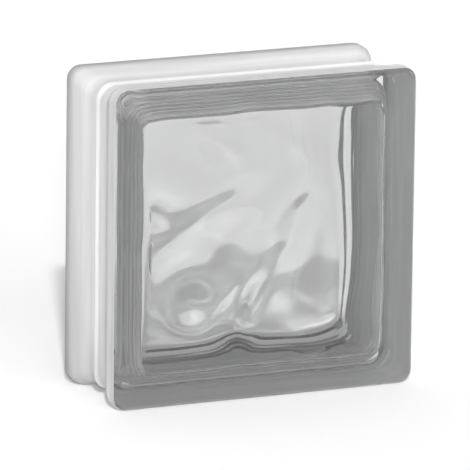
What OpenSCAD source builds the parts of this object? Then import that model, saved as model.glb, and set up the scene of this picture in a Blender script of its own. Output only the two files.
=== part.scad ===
// Hollow glass block standing on its edge, with clear smooth outer faces and waved inner faces.
// Two pressed half shells are fused at mid thickness, so the finished block is a single piece of glass
// around one closed air space. Units are millimetres. The origin is the middle of the footprint:
// X runs across the width, Y runs through the thickness with the front face towards -Y, Z is up.

/* [Block] */

// Width over the rims
block_width = 190; // [150:5:240]
// Height over the rims
block_height = 190; // [150:5:240]
// Thickness from face to face
block_thickness = 80; // [72:1:100]
// Corner radius of the rims, seen from the front
corner_radius = 8.5; // [7:0.5:12]
// Rounding of the edge between a face and its rim
edge_round = 5; // [2:0.5:5.5]

/* [Mortar channel] */

// Width of each rim, from the face to where its land ends
rim_width = 10; // [7:0.5:13]
// Depth of the channel below the rims
channel_depth = 4.8; // [3:0.2:6]
// Run of the curved shoulder between a rim and the channel floor
shoulder_run = 20; // [10:1:20]
// Corner radius of the channel floor, seen from the front
channel_corner_radius = 11; // [8:0.5:14]
// Height of the fused seam above the channel floor
seam_height = 1.3; // [0.4:0.1:2]
// Width of the fused seam
seam_width = 6; // [4:0.5:10]

/* [Air space] */

// Glass thickness of each face, between the waves
face_thickness = 8; // [7:0.5:11]
// Glass thickness of the side walls at the seam
wall_thickness = 4.5; // [3.5:0.5:8]
// Slope of the inner walls from the seam towards each face
wall_draft = 16; // [8:0.5:17]
// Corner radius of the air space, seen from the front
air_corner_radius = 8; // [5:0.5:12]
// Fillet between the inner walls and the inner faces
air_fillet = 4; // [2.5:0.5:6]

/* [Waves] */

// Height of the waves, as a share of the heights in the lists of crests
wave_share = 1; // [0.5:0.1:1.2]
// Margin over which the waves die away towards the fillet
wave_margin = 4; // [3:0.5:10]

/* [Hidden] */

glass_colour = [0.84, 0.88, 0.87, 0.45];

half_width = block_width / 2;
half_height = block_height / 2;
half_thickness = block_thickness / 2;

// Crests of glass on the front inner face, one in each row, seen from the front:
// middle x and z from the middle of the face, direction from the X axis, half length,
// spread on the lower side, spread on the upper side, height; a hollow has a negative height
front_crests = [
    [-40, 10, 27, 62, 20, 11, 3],
    [-74, 19, -20, 16, 5, 7, 1.9],
    [-26, 5, 8, 15, 12, 10, -2],
    [16, -8, 62, 14, 10, 9, 1.1],
    [42, -2, 5, 30, 18, 25, 1],
    [22, 14, 42, 15, 9, 6, 1.6],
    [-24, -33, 50, 15, 3, 9, 0.9],
    [-4, -36, 62, 17, 4, 8, 1.8],
    [-45, -36, 5, 13, 12, 14, 3.8],
    [-18, -51, 10, 10, 12, 14, -2.6],
    [48, -48, 0, 14, 12, 12, -1.4],
    [36, -35, 88, 40, 10, 14, 1],
    [38, 45, 88, 25, 10, 14, -0.6],
    [-27, 58, -43, 22, 10, 10, 2.4],
    [0, 54, -60, 22, 9, 9, 2.2]
];

// Crests on the back inner face, in the same form
back_crests = [
    [-30, 50, 130, 40, 14, 14, 0.6],
    [10, 40, 120, 40, 12, 12, 0.6],
    [50, 60, 110, 30, 12, 12, 0.6]
];

// Half size of the inner face for which the crests are laid out
crest_field = 73.5;

// Facets: steps in a corner, in a straight side of the air space, in a fillet, in a shoulder, across a face
corner_steps = 8;
air_corner_steps = 5;
air_side_steps = 18;
round_steps = 5;
shoulder_steps = 9;
seam_steps = 4;
front_face_steps = 26;
back_face_steps = 10;

// Steady rise from 0 to 1 that is level at both ends
function ease(t) = let (u = min(max(t, 0), 1)) u * u * (3 - 2 * u);

// Rounded rectangle in the XZ plane at depth y, anticlockwise from the right side when seen from the front
function loop(half_x, half_z, radius, y, arc_steps, side_steps) =
    let (
        cx = half_x - radius,
        cz = half_z - radius,
        centres = [[cx, cz], [-cx, cz], [-cx, -cz], [cx, -cz]],
        runs = [[-2 * cx, 0], [0, -2 * cz], [2 * cx, 0], [0, 2 * cz]]
    )
    [
        for (c = [0:3])
            let (end_angle = 90 * c + 90)
            each concat(
                [
                    for (i = [0:arc_steps])
                        let (a = 90 * (c + i / arc_steps))
                        [
                            centres[c].x + radius * cos(a),
                            y,
                            half_height + centres[c].y + radius * sin(a)
                        ]
                ],
                side_steps < 2 ? [] : [
                    for (i = [1:side_steps - 1])
                        let (s = i / side_steps)
                        [
                            centres[c].x + radius * cos(end_angle) + runs[c].x * s,
                            y,
                            half_height + centres[c].y + radius * sin(end_angle) + runs[c].y * s
                        ]
                ]
            )
    ];

// Closed skin through a stack of loops, each with the same count of points; both ends close on one point
module skin(loops, first_point, last_point) {
    n = len(loops[0]);
    last_loop = len(loops) - 1;
    first_tip = n * len(loops);
    points = concat([for (one = loops) each one], [first_point, last_point]);
    bands = [
        for (k = [0:last_loop - 1], i = [0:n - 1])
            let (a = k * n + i, b = k * n + (i + 1) % n)
            each [[a, b, a + n], [b, b + n, a + n]]
    ];
    first_cap = [for (i = [0:n - 1]) [first_tip, (i + 1) % n, i]];
    last_cap = [
        for (i = [0:n - 1])
            [first_tip + 1, last_loop * n + i, last_loop * n + (i + 1) % n]
    ];
    polyhedron(points = points, faces = concat(first_cap, bands, last_cap), convexity = 6);
}

// How far the side surface lies inside the rims, at a distance y from mid thickness
function side_depth(y) =
    let (
        a = abs(y),
        past_round = a - half_thickness + edge_round
    )
    past_round > 0
        ? edge_round - sqrt(max(0, edge_round * edge_round - past_round * past_round))
        : channel_depth * ease((half_thickness - rim_width - a) / shoulder_run)
          - seam_height * ease(1 - 2 * a / seam_width);

// Corner radius of the side surface: smaller over the rounded edge, larger in the channel
function side_corner(y) =
    let (d = side_depth(y))
    abs(y) > half_thickness - edge_round
        ? corner_radius - d
        : corner_radius + (channel_corner_radius - corner_radius) * d / channel_depth;

// Stations through half the thickness, from the face to mid thickness
shoulder_start = half_thickness - rim_width;
half_stations = concat(
    [for (i = [0:round_steps]) half_thickness - edge_round * (1 - sin(90 - 90 * i / round_steps))],
    [for (i = [0:shoulder_steps]) shoulder_start - shoulder_run * i / shoulder_steps],
    [for (i = [0:seam_steps - 1]) seam_width / 2 * (1 - i / seam_steps)]
);
stations = concat(
    [for (y = half_stations) -y],
    [0],
    [for (i = [len(half_stations) - 1:-1:0]) half_stations[i]]
);

module outer_body() {
    skin(
        [
            for (y = stations)
                let (d = side_depth(y))
                loop(half_width - d, half_height - d, side_corner(y), y, corner_steps, 1)
        ],
        [0, -half_thickness, half_height],
        [0, half_thickness, half_height]
    );
}

// Inner walls: distance from the rims at the seam, growing by the draft up to the fillet
air_inset = channel_depth + wall_thickness;
air_half_depth = half_thickness - face_thickness;
fillet_start = air_half_depth - air_fillet * (1 - sin(wall_draft));
fillet_inset = air_inset + fillet_start * tan(wall_draft);
face_inset = fillet_inset + air_fillet * cos(wall_draft);

// The crests keep their places on the inner face when the block is made wider or taller
field_x = (half_width - face_inset) / crest_field;
field_z = (half_height - face_inset) / crest_field;

// Height of one crest at x, z measured from the middle of the face
function crest_rise(crest, x, z) =
    let (
        from_x = x - crest[0] * field_x,
        from_z = z - crest[1] * field_z,
        turn = crest[2],
        along = from_x * cos(turn) + from_z * sin(turn),
        across = from_z * cos(turn) - from_x * sin(turn),
        run = along / crest[3],
        rise = across / (across < 0 ? crest[4] : crest[5])
    )
    crest[6] * exp(-run * run - rise * rise);

// Sum of a list of numbers
function total(list, i = 0) = i < len(list) ? list[i] + total(list, i + 1) : 0;

// Wave of an inner face at x, z; side is -1 for the front and 1 for the back
function wave(x, z, side) =
    wave_share * total([for (crest = side < 0 ? front_crests : back_crests) crest_rise(crest, x, z)]);

// The waves die away towards the edge of the inner face
function margin_fade(x, z) =
    let (
        edge = min(half_width - face_inset - abs(x), half_height - face_inset - abs(z))
    )
    ease(edge / wave_margin);

// One point of an inner face; side is -1 for the front and 1 for the back
function face_point(x, z, side) =
    [x, side * (air_half_depth - wave(x, z, side) * margin_fade(x, z)), half_height + z];

// Loops of an inner face, from its edge towards its middle
function face_loops(side) =
    let (
        face_steps = side < 0 ? front_face_steps : back_face_steps,
        rim = loop(
            half_width - face_inset,
            half_height - face_inset,
            air_corner_radius,
            0,
            air_corner_steps,
            air_side_steps
        )
    )
    [
        for (k = [1:face_steps - 1])
            let (s = 1 - k / face_steps)
            [for (p = rim) face_point(p.x * s, (p.z - half_height) * s, side)]
    ];

// Loops of one half of the inner wall, from the seam to the edge of the inner face
function wall_loops(side) = [
    for (i = [0:round_steps + 1])
        let (
            turn = wall_draft + (90 - wall_draft) * (i - 1) / round_steps,
            depth = i == 0 ? 0 : air_half_depth - air_fillet * (1 - sin(turn)),
            inset = i == 0 ? air_inset : face_inset - air_fillet * cos(turn)
        )
        loop(
            half_width - inset,
            half_height - inset,
            air_corner_radius + (face_inset - inset) / 2,
            side * depth,
            air_corner_steps,
            air_side_steps
        )
];

function backwards(list) = [for (i = [len(list) - 1:-1:0]) list[i]];

module air_space() {
    front_wall = wall_loops(-1);
    back_wall = wall_loops(1);
    skin(
        concat(
            backwards(face_loops(-1)),
            backwards(front_wall),
            [for (i = [1:len(back_wall) - 1]) back_wall[i]],
            face_loops(1)
        ),
        face_point(0, 0, -1),
        face_point(0, 0, 1)
    );
}

module glass_block() {
    color(glass_colour)
        difference() {
            outer_body();
            air_space();
        }
}

glass_block();
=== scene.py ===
import math

import bpy
import numpy as np
from mathutils import Matrix, Vector


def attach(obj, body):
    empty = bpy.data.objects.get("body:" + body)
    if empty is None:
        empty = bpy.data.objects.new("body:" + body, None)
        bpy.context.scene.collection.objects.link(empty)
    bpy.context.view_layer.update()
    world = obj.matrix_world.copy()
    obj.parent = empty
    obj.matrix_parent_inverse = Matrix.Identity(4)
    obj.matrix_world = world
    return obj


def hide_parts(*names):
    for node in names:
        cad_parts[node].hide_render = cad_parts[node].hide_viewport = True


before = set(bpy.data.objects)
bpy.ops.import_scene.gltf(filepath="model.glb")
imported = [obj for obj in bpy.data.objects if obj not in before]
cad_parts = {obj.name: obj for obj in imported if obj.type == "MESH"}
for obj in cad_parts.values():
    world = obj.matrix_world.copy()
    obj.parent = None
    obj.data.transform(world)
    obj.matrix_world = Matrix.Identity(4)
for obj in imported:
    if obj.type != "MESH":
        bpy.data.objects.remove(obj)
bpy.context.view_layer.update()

MM = 0.001

# Sizes of the block in millimetres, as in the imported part
WIDTH = 190.0
HEIGHT = 190.0
THICKNESS = 80.0
CORNER_RADIUS = 8.5
EDGE_ROUND = 5.0
RIM_WIDTH = 10.0
CHANNEL_DEPTH = 4.8
SHOULDER_RUN = 20.0
CHANNEL_CORNER_RADIUS = 11.0
SEAM_HEIGHT = 1.3
SEAM_WIDTH = 6.0
FACE_THICKNESS = 8.0
WALL_THICKNESS = 4.5
WALL_DRAFT = 16.0
AIR_CORNER_RADIUS = 8.0
AIR_FILLET = 4.0
WAVE_MARGIN = 4.0

# Crests of glass on the inner faces: middle x, z from the middle of the face, direction in degrees from +X,
# half length, spread below, spread above, height
FRONT_CRESTS = [
    (-40.0, 10.0, 27.0, 62.0, 20.0, 11.0, 3.0),
    (-74.0, 19.0, -20.0, 16.0, 5.0, 7.0, 1.9),
    (-26.0, 5.0, 8.0, 15.0, 12.0, 10.0, -2.0),
    (16.0, -8.0, 62.0, 14.0, 10.0, 9.0, 1.1),
    (42.0, -2.0, 5.0, 30.0, 18.0, 25.0, 1.0),
    (22.0, 14.0, 42.0, 15.0, 9.0, 6.0, 1.6),
    (-24.0, -33.0, 50.0, 15.0, 3.0, 9.0, 0.9),
    (-4.0, -36.0, 62.0, 17.0, 4.0, 8.0, 1.8),
    (-45.0, -36.0, 5.0, 13.0, 12.0, 14.0, 3.8),
    (-18.0, -51.0, 10.0, 10.0, 12.0, 14.0, -2.6),
    (48.0, -48.0, 0.0, 14.0, 12.0, 12.0, -1.4),
    (36.0, -35.0, 88.0, 40.0, 10.0, 14.0, 1.0),
    (38.0, 45.0, 88.0, 25.0, 10.0, 14.0, -0.6),
    (-27.0, 58.0, -43.0, 22.0, 10.0, 10.0, 2.4),
    (0.0, 54.0, -60.0, 22.0, 9.0, 9.0, 2.2),
]
BACK_CRESTS = [
    (-30.0, 50.0, 130.0, 40.0, 14.0, 14.0, 0.6),
    (10.0, 40.0, 120.0, 40.0, 12.0, 12.0, 0.6),
    (50.0, 60.0, 110.0, 30.0, 12.0, 12.0, 0.6),
]

# Waver of the inner edges: height in millimetres, waves in one round, phase
SWAY = [(0.45, 7, 0.9), (0.35, 16, 3.8), (0.15, 29, 1.9)]

# Pressing lines on the inner walls: height in millimetres, phase for each millimetre of depth, first phase
RIPPLE = [(0.12, 1.35, 0.0), (0.07, 2.6, 1.0)]
RIPPLE_FADE = 3.0

# Where the white coating of the channel stops, measured from mid thickness, and the least step beside it
COAT_EDGE = 37.0
LEAST_STEP = 0.1

# Steps of the meshes
CORNER_STEPS = 14
SIDE_STEPS = 40
ROUND_STEPS = 10
CAP_STEPS = 8
FACE_STEPS = 56
WALL_STEPS = 44
FILLET_STEPS = 10
CHANNEL_STEPS = 40
SEAM_STEPS = 10

# First loop of a flat outer face, as a share of its edge; it keeps the shading of the rounding off the flat
CAP_EDGE_SHARE = 0.996

HALF_W = WIDTH / 2
HALF_H = HEIGHT / 2
HALF_T = THICKNESS / 2
AIR_INSET = CHANNEL_DEPTH + WALL_THICKNESS
AIR_HALF_DEPTH = HALF_T - FACE_THICKNESS
DRAFT = math.radians(WALL_DRAFT)
FILLET_START = AIR_HALF_DEPTH - AIR_FILLET * (1 - math.sin(DRAFT))
FACE_INSET = AIR_INSET + FILLET_START * math.tan(DRAFT) + AIR_FILLET * math.cos(DRAFT)

GLASS_IOR = 1.52
GLASS_COLOUR = (0.79, 0.795, 0.7925, 1)
GLASS_BODY_COLOUR = (0.88, 0.90, 0.89, 1)
GLASS_BODY_DENSITY = 3.0

# Brush streaks of the coating: two colours, and the scale of the noise along X, Y and Z
STREAK_COLOURS = [(0.3, (0.86, 0.86, 0.855, 1)), (0.7, (1.0, 1.0, 0.995, 1))]
STREAK_SCALE = (12.0, 220.0, 12.0)

# Whiteness of the coating from the front rim (place 0) to the back rim (place 1), with light and shade
# painted in: a painted highlight on the seam, painted shade that makes the back half darker than the front
# half towards the back rim, and greyer near the front rim
COAT_PAINTED_LIGHT_LEVELS = [
    (0.04, 0.80),
    (0.12, 1.0),
    (0.46, 1.0),
    (0.50, 1.06),
    (0.56, 0.97),
    (0.72, 0.89),
    (0.86, 0.74),
    (0.96, 0.46),
]

FLOOR_SIZE = 12.0
FLOOR_COLOUR = (0.88, 0.88, 0.88, 1)
FLOOR_GLOW = 0.04

# Studio light from the world: brightest towards one axis, with a soft glow from the front
SKY_AXIS = (-0.15, 0.62, 0.77)
SKY_LEVELS = [(0.0, 0.04), (0.25, 0.08), (0.70, 0.36), (1.0, 0.72)]
GLOW_AXIS = (-0.08, -0.97, 0.23)
GLOW_START = 0.66
GLOW_STRENGTH = 2.7

# Camera: angles in degrees, distance in metres, focal length in pixels of the photograph's frame
AZIMUTH = -23.884
ELEVATION = 13.523
ROLL = 0.723
AIM_TURN = 0.040
AIM_TILT = 0.086
DISTANCE = 4.068
FOCAL_PIXELS = 6970.0
FRAME_PIXELS = 470.0
SENSOR_WIDTH = 36.0


def ease(t):
    """Steady rise from 0 to 1 that is level at both ends."""
    u = np.clip(t, 0.0, 1.0)
    return u * u * (3 - 2 * u)


def loop(half_x, half_z, radius):
    """Rounded rectangle in the XZ plane about the middle of the block, anticlockwise seen from the front."""
    points = []
    cx, cz = half_x - radius, half_z - radius
    centres = [(cx, cz), (-cx, cz), (-cx, -cz), (cx, -cz)]
    runs = [(-2 * cx, 0), (0, -2 * cz), (2 * cx, 0), (0, 2 * cz)]
    for c in range(4):
        for i in range(CORNER_STEPS + 1):
            a = math.radians(90 * (c + i / CORNER_STEPS))
            points.append((centres[c][0] + radius * math.cos(a), centres[c][1] + radius * math.sin(a)))
        end = math.radians(90 * c + 90)
        ex = centres[c][0] + radius * math.cos(end)
        ez = centres[c][1] + radius * math.sin(end)
        for i in range(1, SIDE_STEPS):
            s = i / SIDE_STEPS
            points.append((ex + runs[c][0] * s, ez + runs[c][1] * s))
    return np.array(points)


def placed(x, y, z):
    """Points at x, y and at z from the middle of the block, measured from the floor."""
    return np.column_stack([x, np.broadcast_to(y, x.shape), z + HALF_H])


def side_depth(y):
    """How far the side surface lies inside the rims, at a distance y from mid thickness."""
    a = abs(y)
    past = a - HALF_T + EDGE_ROUND
    if past > 0:
        return EDGE_ROUND - math.sqrt(max(0.0, EDGE_ROUND**2 - past**2))
    fall = CHANNEL_DEPTH * float(ease((HALF_T - RIM_WIDTH - a) / SHOULDER_RUN))
    return fall - SEAM_HEIGHT * float(ease(1 - 2 * a / SEAM_WIDTH))


def side_corner(y):
    """Corner radius of the side surface: smaller over the rounded edge, larger in the channel."""
    d = side_depth(y)
    if abs(y) > HALF_T - EDGE_ROUND:
        return CORNER_RADIUS - d
    return CORNER_RADIUS + (CHANNEL_CORNER_RADIUS - CORNER_RADIUS) * d / CHANNEL_DEPTH


def side_loop(y):
    d = side_depth(y)
    xz = loop(HALF_W - d, HALF_H - d, side_corner(y))
    return placed(xz[:, 0], y, xz[:, 1])


def cap_loops(y):
    """Loops of a flat outer face, from its edge towards its middle."""
    xz = loop(HALF_W - EDGE_ROUND, HALF_H - EDGE_ROUND, CORNER_RADIUS - EDGE_ROUND)
    shares = [CAP_EDGE_SHARE] + [1 - k / CAP_STEPS for k in range(1, CAP_STEPS)]
    return [placed(xz[:, 0] * s, y, xz[:, 1] * s) for s in shares]


def wave(x, z, side):
    """Height of the waves of an inner face; side is -1 for the front and 1 for the back."""
    total = np.zeros_like(x)
    for cx, cz, turn, half_length, below, above, height in FRONT_CRESTS if side < 0 else BACK_CRESTS:
        t = math.radians(turn)
        along = (x - cx) * math.cos(t) + (z - cz) * math.sin(t)
        across = (z - cz) * math.cos(t) - (x - cx) * math.sin(t)
        spread = np.where(across < 0, below, above)
        total = total + height * np.exp(-((along / half_length) ** 2) - (across / spread) ** 2)
    return total


def face_y(x, z, side):
    """Depth of an inner face, whose waves die away towards its edge."""
    edge = np.minimum(HALF_W - FACE_INSET - np.abs(x), HALF_H - FACE_INSET - np.abs(z))
    return side * (AIR_HALF_DEPTH - wave(x, z, side) * ease(edge / WAVE_MARGIN))


def sway(count):
    """Slight waver of the inner edges along their length, in millimetres."""
    s = np.arange(count) / count * 2 * math.pi
    return sum(height * np.sin(waves * s + phase) for height, waves, phase in SWAY)


def ripple(depth):
    """Fine pressing lines along the inner walls, in millimetres."""
    fade = float(ease(depth / RIPPLE_FADE)) * float(ease((FILLET_START - depth) / RIPPLE_FADE))
    return fade * sum(height * math.sin(depth * rate + phase) for height, rate, phase in RIPPLE)


def air_face_loops(side):
    """Loops of an inner face, from its edge towards its middle."""
    xz = loop(HALF_W - FACE_INSET, HALF_H - FACE_INSET, AIR_CORNER_RADIUS)
    waver = sway(len(xz)) / HALF_W
    out = []
    for k in range(1, FACE_STEPS):
        s = 1 - k / FACE_STEPS
        stretch = s * (1 + waver * s**4)
        x, z = xz[:, 0] * stretch, xz[:, 1] * stretch
        out.append(placed(x, face_y(x, z, side), z))
    return out


def air_wall_loops(side):
    """Loops of one half of the inner wall, from the seam over the fillet to the edge of the inner face."""
    stations = []
    for k in range(WALL_STEPS):
        depth = FILLET_START * k / WALL_STEPS
        stations.append((depth, AIR_INSET + depth * math.tan(DRAFT) + ripple(depth)))
    for k in range(FILLET_STEPS + 1):
        turn = DRAFT + (math.pi / 2 - DRAFT) * k / FILLET_STEPS
        depth = AIR_HALF_DEPTH - AIR_FILLET * (1 - math.sin(turn))
        stations.append((depth, FACE_INSET - AIR_FILLET * math.cos(turn)))
    out = []
    for depth, inset in stations:
        xz = loop(HALF_W - inset, HALF_H - inset, AIR_CORNER_RADIUS + (FACE_INSET - inset) / 2)
        stretch = 1 + sway(len(xz)) / HALF_W * float(ease(depth / FILLET_START))
        out.append(placed(xz[:, 0] * stretch, side * depth, xz[:, 1] * stretch))
    return out


class Skin:
    """Collects bands of quads through stacks of loops into one mesh."""

    def __init__(self):
        self.points = []
        self.faces = []
        self.count = 0

    def stack(self, loops, flip=False, first_tip=None, last_tip=None):
        """Adds a band through the loops; a tip closes its end on one point."""
        n = len(loops[0])
        base = self.count
        self.points.extend(loops)
        self.count += n * len(loops)
        for k in range(len(loops) - 1):
            for i in range(n):
                a = base + k * n + i
                b = base + k * n + (i + 1) % n
                quad = (a, a + n, b + n, b)
                self.faces.append(quad[::-1] if flip else quad)
        for tip, start, turn in ((first_tip, base, False), (last_tip, base + (len(loops) - 1) * n, True)):
            if tip is None:
                continue
            self.points.append(np.array([tip]))
            t = self.count
            self.count += 1
            for i in range(n):
                tri = (t, start + i, start + (i + 1) % n)
                self.faces.append(tri[::-1] if turn != flip else tri)

    def object(self, name):
        mesh = bpy.data.meshes.new(name)
        mesh.from_pydata((np.concatenate(self.points) * MM).tolist(), [], self.faces)
        mesh.validate()
        mesh.polygons.foreach_set("use_smooth", [True] * len(mesh.polygons))
        mesh.update()
        obj = bpy.data.objects.new(name, mesh)
        bpy.context.scene.collection.objects.link(obj)
        return obj


def block_glass():
    """Outer faces with rounded edges, and the air space; the coating closes the side between the rims."""
    turns = [math.pi / 2 * (1 - k / ROUND_STEPS) for k in range(ROUND_STEPS + 1)]
    edge_stations = [HALF_T - EDGE_ROUND * (1 - math.sin(turn)) for turn in turns]
    rim_stations = [y for y in edge_stations if y > COAT_EDGE + LEAST_STEP] + [COAT_EDGE]
    front_rim = [side_loop(-y) for y in rim_stations]
    back_rim = [side_loop(y) for y in rim_stations]
    front_air = air_wall_loops(-1) + air_face_loops(-1)
    back_air = air_wall_loops(1) + air_face_loops(1)
    middle = np.zeros(1)
    skin = Skin()
    skin.stack(cap_loops(-HALF_T)[::-1] + front_rim, first_tip=(0, -HALF_T, HALF_H))
    skin.stack(back_rim[::-1] + cap_loops(HALF_T), last_tip=(0, HALF_T, HALF_H))
    skin.stack(
        front_air[::-1] + back_air[1:],
        flip=True,
        first_tip=(0, float(face_y(middle, middle, -1)[0]), HALF_H),
        last_tip=(0, float(face_y(middle, middle, 1)[0]), HALF_H),
    )
    return skin.object("block_glass")


def edge_coating():
    """Film on the side surface, from one rounded edge over the channel and its seam to the other."""
    half_seam = SEAM_WIDTH / 2
    half = [COAT_EDGE - (COAT_EDGE - half_seam) * k / CHANNEL_STEPS for k in range(CHANNEL_STEPS)]
    half += [half_seam * (1 - k / SEAM_STEPS) for k in range(SEAM_STEPS)]
    skin = Skin()
    skin.stack([side_loop(-y) for y in half] + [side_loop(0.0)] + [side_loop(y) for y in half[::-1]])
    return skin.object("edge_coating")


def material(name):
    m = bpy.data.materials.new(name)
    m.use_nodes = True
    nodes = m.node_tree.nodes
    return m, nodes, m.node_tree.links, nodes["Principled BSDF"], nodes["Material Output"]


def grey_ramp(nodes, levels):
    """Ramp of greys through pairs of place and level."""
    ramp = nodes.new("ShaderNodeValToRGB")
    while len(ramp.color_ramp.elements) < len(levels):
        ramp.color_ramp.elements.new(0.5)
    for element, (place, level) in zip(ramp.color_ramp.elements, levels):
        element.position = place
        element.color = (level, level, level, 1)
    return ramp


def pressed_glass():
    """Clear glass, faintly grey-green."""
    m, nodes, links, bsdf, out = material("pressed_glass")
    bsdf.inputs["Base Color"].default_value = GLASS_COLOUR
    bsdf.inputs["Transmission Weight"].default_value = 1.0
    bsdf.inputs["IOR"].default_value = GLASS_IOR
    bsdf.inputs["Roughness"].default_value = 0.0
    absorb = nodes.new("ShaderNodeVolumeAbsorption")
    absorb.inputs["Color"].default_value = GLASS_BODY_COLOUR
    absorb.inputs["Density"].default_value = GLASS_BODY_DENSITY
    links.new(absorb.outputs["Volume"], out.inputs["Volume"])
    return m


def white_coating():
    """Translucent white film with brush streaks along the channel, with a painted highlight on the seam and
    painted shade that darkens its back half towards the back rim; greyer near the front rim too.
    """
    m, nodes, links, bsdf, _ = material("white_coating")
    tex = nodes.new("ShaderNodeTexCoord")
    stretch = nodes.new("ShaderNodeMapping")
    stretch.inputs["Scale"].default_value = STREAK_SCALE
    links.new(tex.outputs["Object"], stretch.inputs["Vector"])
    noise = nodes.new("ShaderNodeTexNoise")
    noise.inputs["Scale"].default_value = 1.0
    noise.inputs["Detail"].default_value = 4.0
    links.new(stretch.outputs["Vector"], noise.inputs["Vector"])
    streaks = nodes.new("ShaderNodeValToRGB")
    for element, (place, colour) in zip(streaks.color_ramp.elements, STREAK_COLOURS):
        element.position = place
        element.color = colour
    links.new(noise.outputs["Fac"], streaks.inputs["Fac"])

    parts = nodes.new("ShaderNodeSeparateXYZ")
    links.new(tex.outputs["Object"], parts.inputs["Vector"])
    share = nodes.new("ShaderNodeMapRange")
    share.inputs["From Min"].default_value = -HALF_T * MM
    share.inputs["From Max"].default_value = HALF_T * MM
    links.new(parts.outputs["Y"], share.inputs["Value"])
    # Painted light across the coating: a painted highlight on the seam and painted shade over the back half
    across = grey_ramp(nodes, COAT_PAINTED_LIGHT_LEVELS)
    links.new(share.outputs["Result"], across.inputs["Fac"])

    tint = nodes.new("ShaderNodeMix")
    tint.data_type = "RGBA"
    tint.blend_type = "MULTIPLY"
    tint.inputs["Factor"].default_value = 1.0
    links.new(streaks.outputs["Color"], tint.inputs["A"])
    links.new(across.outputs["Color"], tint.inputs["B"])
    links.new(tint.outputs["Result"], bsdf.inputs["Base Color"])
    bsdf.inputs["Transmission Weight"].default_value = 0.6
    bsdf.inputs["IOR"].default_value = GLASS_IOR
    bsdf.inputs["Roughness"].default_value = 0.8
    return m


def pale_floor():
    """Matt pale floor, a little lighter to the camera and in the glass than its light makes it."""
    m, nodes, links, bsdf, _ = material("pale_floor")
    bsdf.inputs["Base Color"].default_value = FLOOR_COLOUR
    bsdf.inputs["Roughness"].default_value = 0.9
    bsdf.inputs["Specular IOR Level"].default_value = 0.0
    path = nodes.new("ShaderNodeLightPath")
    seen = path.outputs["Is Camera Ray"]
    for ray in ("Is Glossy Ray", "Is Transmission Ray"):
        either = nodes.new("ShaderNodeMath")
        either.operation = "MAXIMUM"
        links.new(seen, either.inputs[0])
        links.new(path.outputs[ray], either.inputs[1])
        seen = either.outputs["Value"]
    scale = nodes.new("ShaderNodeMath")
    scale.operation = "MULTIPLY"
    scale.inputs[1].default_value = FLOOR_GLOW
    links.new(seen, scale.inputs[0])
    bsdf.inputs["Emission Color"].default_value = (1, 1, 1, 1)
    links.new(scale.outputs["Value"], bsdf.inputs["Emission Strength"])
    return m


def studio_world():
    """White light whose strength depends on its direction alone."""
    world = bpy.data.worlds.new("studio")
    world.use_nodes = True
    nodes = world.node_tree.nodes
    links = world.node_tree.links
    background = nodes["Background"]
    background.inputs["Color"].default_value = (1, 1, 1, 1)
    direction = nodes.new("ShaderNodeTexCoord")

    def towards_axis(axis):
        dot = nodes.new("ShaderNodeVectorMath")
        dot.operation = "DOT_PRODUCT"
        dot.inputs[1].default_value = axis
        links.new(direction.outputs["Generated"], dot.inputs[0])
        return dot.outputs["Value"]

    sky = grey_ramp(nodes, SKY_LEVELS)
    links.new(towards_axis(SKY_AXIS), sky.inputs["Fac"])
    glow = nodes.new("ShaderNodeMapRange")
    glow.interpolation_type = "SMOOTHERSTEP"
    glow.inputs["From Min"].default_value = GLOW_START
    glow.inputs["From Max"].default_value = 1.0
    glow.inputs["To Max"].default_value = GLOW_STRENGTH
    links.new(towards_axis(GLOW_AXIS), glow.inputs["Value"])
    both = nodes.new("ShaderNodeMath")
    both.operation = "ADD"
    links.new(sky.outputs["Color"], both.inputs[0])
    links.new(glow.outputs["Result"], both.inputs[1])
    links.new(both.outputs["Value"], background.inputs["Strength"])
    return world


def towards(azimuth, elevation):
    """Unit vector from the block, with angles in degrees; azimuth 0 is the front."""
    az, el = math.radians(azimuth), math.radians(elevation)
    return Vector((math.sin(az) * math.cos(el), -math.cos(az) * math.cos(el), math.sin(el)))


def lamp(name, data, aim):
    obj = bpy.data.objects.new(name, data)
    obj.rotation_mode = "QUATERNION"
    obj.rotation_quaternion = aim.to_track_quat("-Z", "Y")
    bpy.context.scene.collection.objects.link(obj)
    return obj


def area(name, place, aim, size, power):
    """Rectangular lamp at a place, turned to a point."""
    data = bpy.data.lights.new(name, "AREA")
    data.shape = "RECTANGLE"
    data.size, data.size_y = size
    data.energy = power
    lamp(name, data, Vector(aim) - Vector(place)).location = place


def distant(name, azimuth, elevation, spread, strength):
    """Far lamp whose light also passes through the glass."""
    data = bpy.data.lights.new(name, "SUN")
    data.energy = strength
    data.angle = math.radians(spread)
    data.cycles.is_caustics_light = True
    lamp(name, data, -towards(azimuth, elevation))


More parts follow.
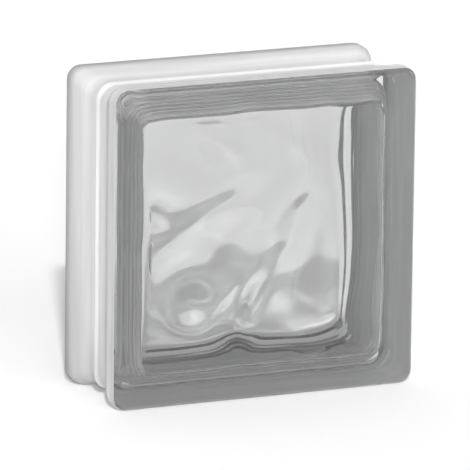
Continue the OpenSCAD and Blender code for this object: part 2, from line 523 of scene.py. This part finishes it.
def camera():
    """Camera at the photograph's viewing angle."""
    data = bpy.data.cameras.new("camera")
    data.sensor_width = SENSOR_WIDTH
    data.sensor_fit = "HORIZONTAL"
    data.lens = FOCAL_PIXELS / FRAME_PIXELS * SENSOR_WIDTH
    data.clip_end = 100.0
    obj = bpy.data.objects.new("camera", data)
    bpy.context.scene.collection.objects.link(obj)
    back = towards(AZIMUTH + AIM_TURN, ELEVATION + AIM_TILT)
    right = (-back).cross(Vector((0, 0, 1))).normalized()
    up = right.cross(-back)
    roll = math.radians(ROLL)
    rolled_right = right * math.cos(roll) + up * math.sin(roll)
    rolled_up = up * math.cos(roll) - right * math.sin(roll)
    place = Vector((0, 0, HALF_H * MM)) + towards(AZIMUTH, ELEVATION) * DISTANCE
    turn = Matrix((rolled_right, rolled_up, back)).transposed().to_4x4()
    obj.matrix_world = Matrix.Translation(place) @ turn
    return obj


# The block
glass_obj = block_glass()
glass_obj.data.materials.append(pressed_glass())
coat_obj = edge_coating()
coat_obj.data.materials.append(white_coating())
for obj, slot in ((glass_obj, "glass"), (coat_obj, "edge_coating")):
    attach(obj, "root")
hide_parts("glass_block")

# Floor, light and camera
bpy.ops.mesh.primitive_plane_add(size=FLOOR_SIZE, location=(0, 0, 0))
floor = bpy.context.object
floor.name = "floor"
floor.data.materials.append(pale_floor())

scene = bpy.context.scene
scene.world = studio_world()
distant("key", -21, 34, 2.5, 2.20)
distant("front", -22, 16.5, 3.5, 1.00)
area("top", (0.25, 0.45, 1.9), (0, 0, 0.1), (0.6, 0.6), 2)
area("side", (2.3, -0.5, 1.0), (0, 0, 0.1), (1.2, 1.0), 9)
scene.camera = camera()

# The light that passes through the glass falls on the floor and on the coating
glass_obj.cycles.is_caustics_caster = True
for obj in (floor, coat_obj):
    obj.cycles.is_caustics_receiver = True

scene.view_settings.view_transform = "Standard"
scene.cycles.max_bounces = 96
scene.cycles.transmission_bounces = 64
scene.cycles.glossy_bounces = 64
scene.cycles.sample_clamp_indirect = 4.0
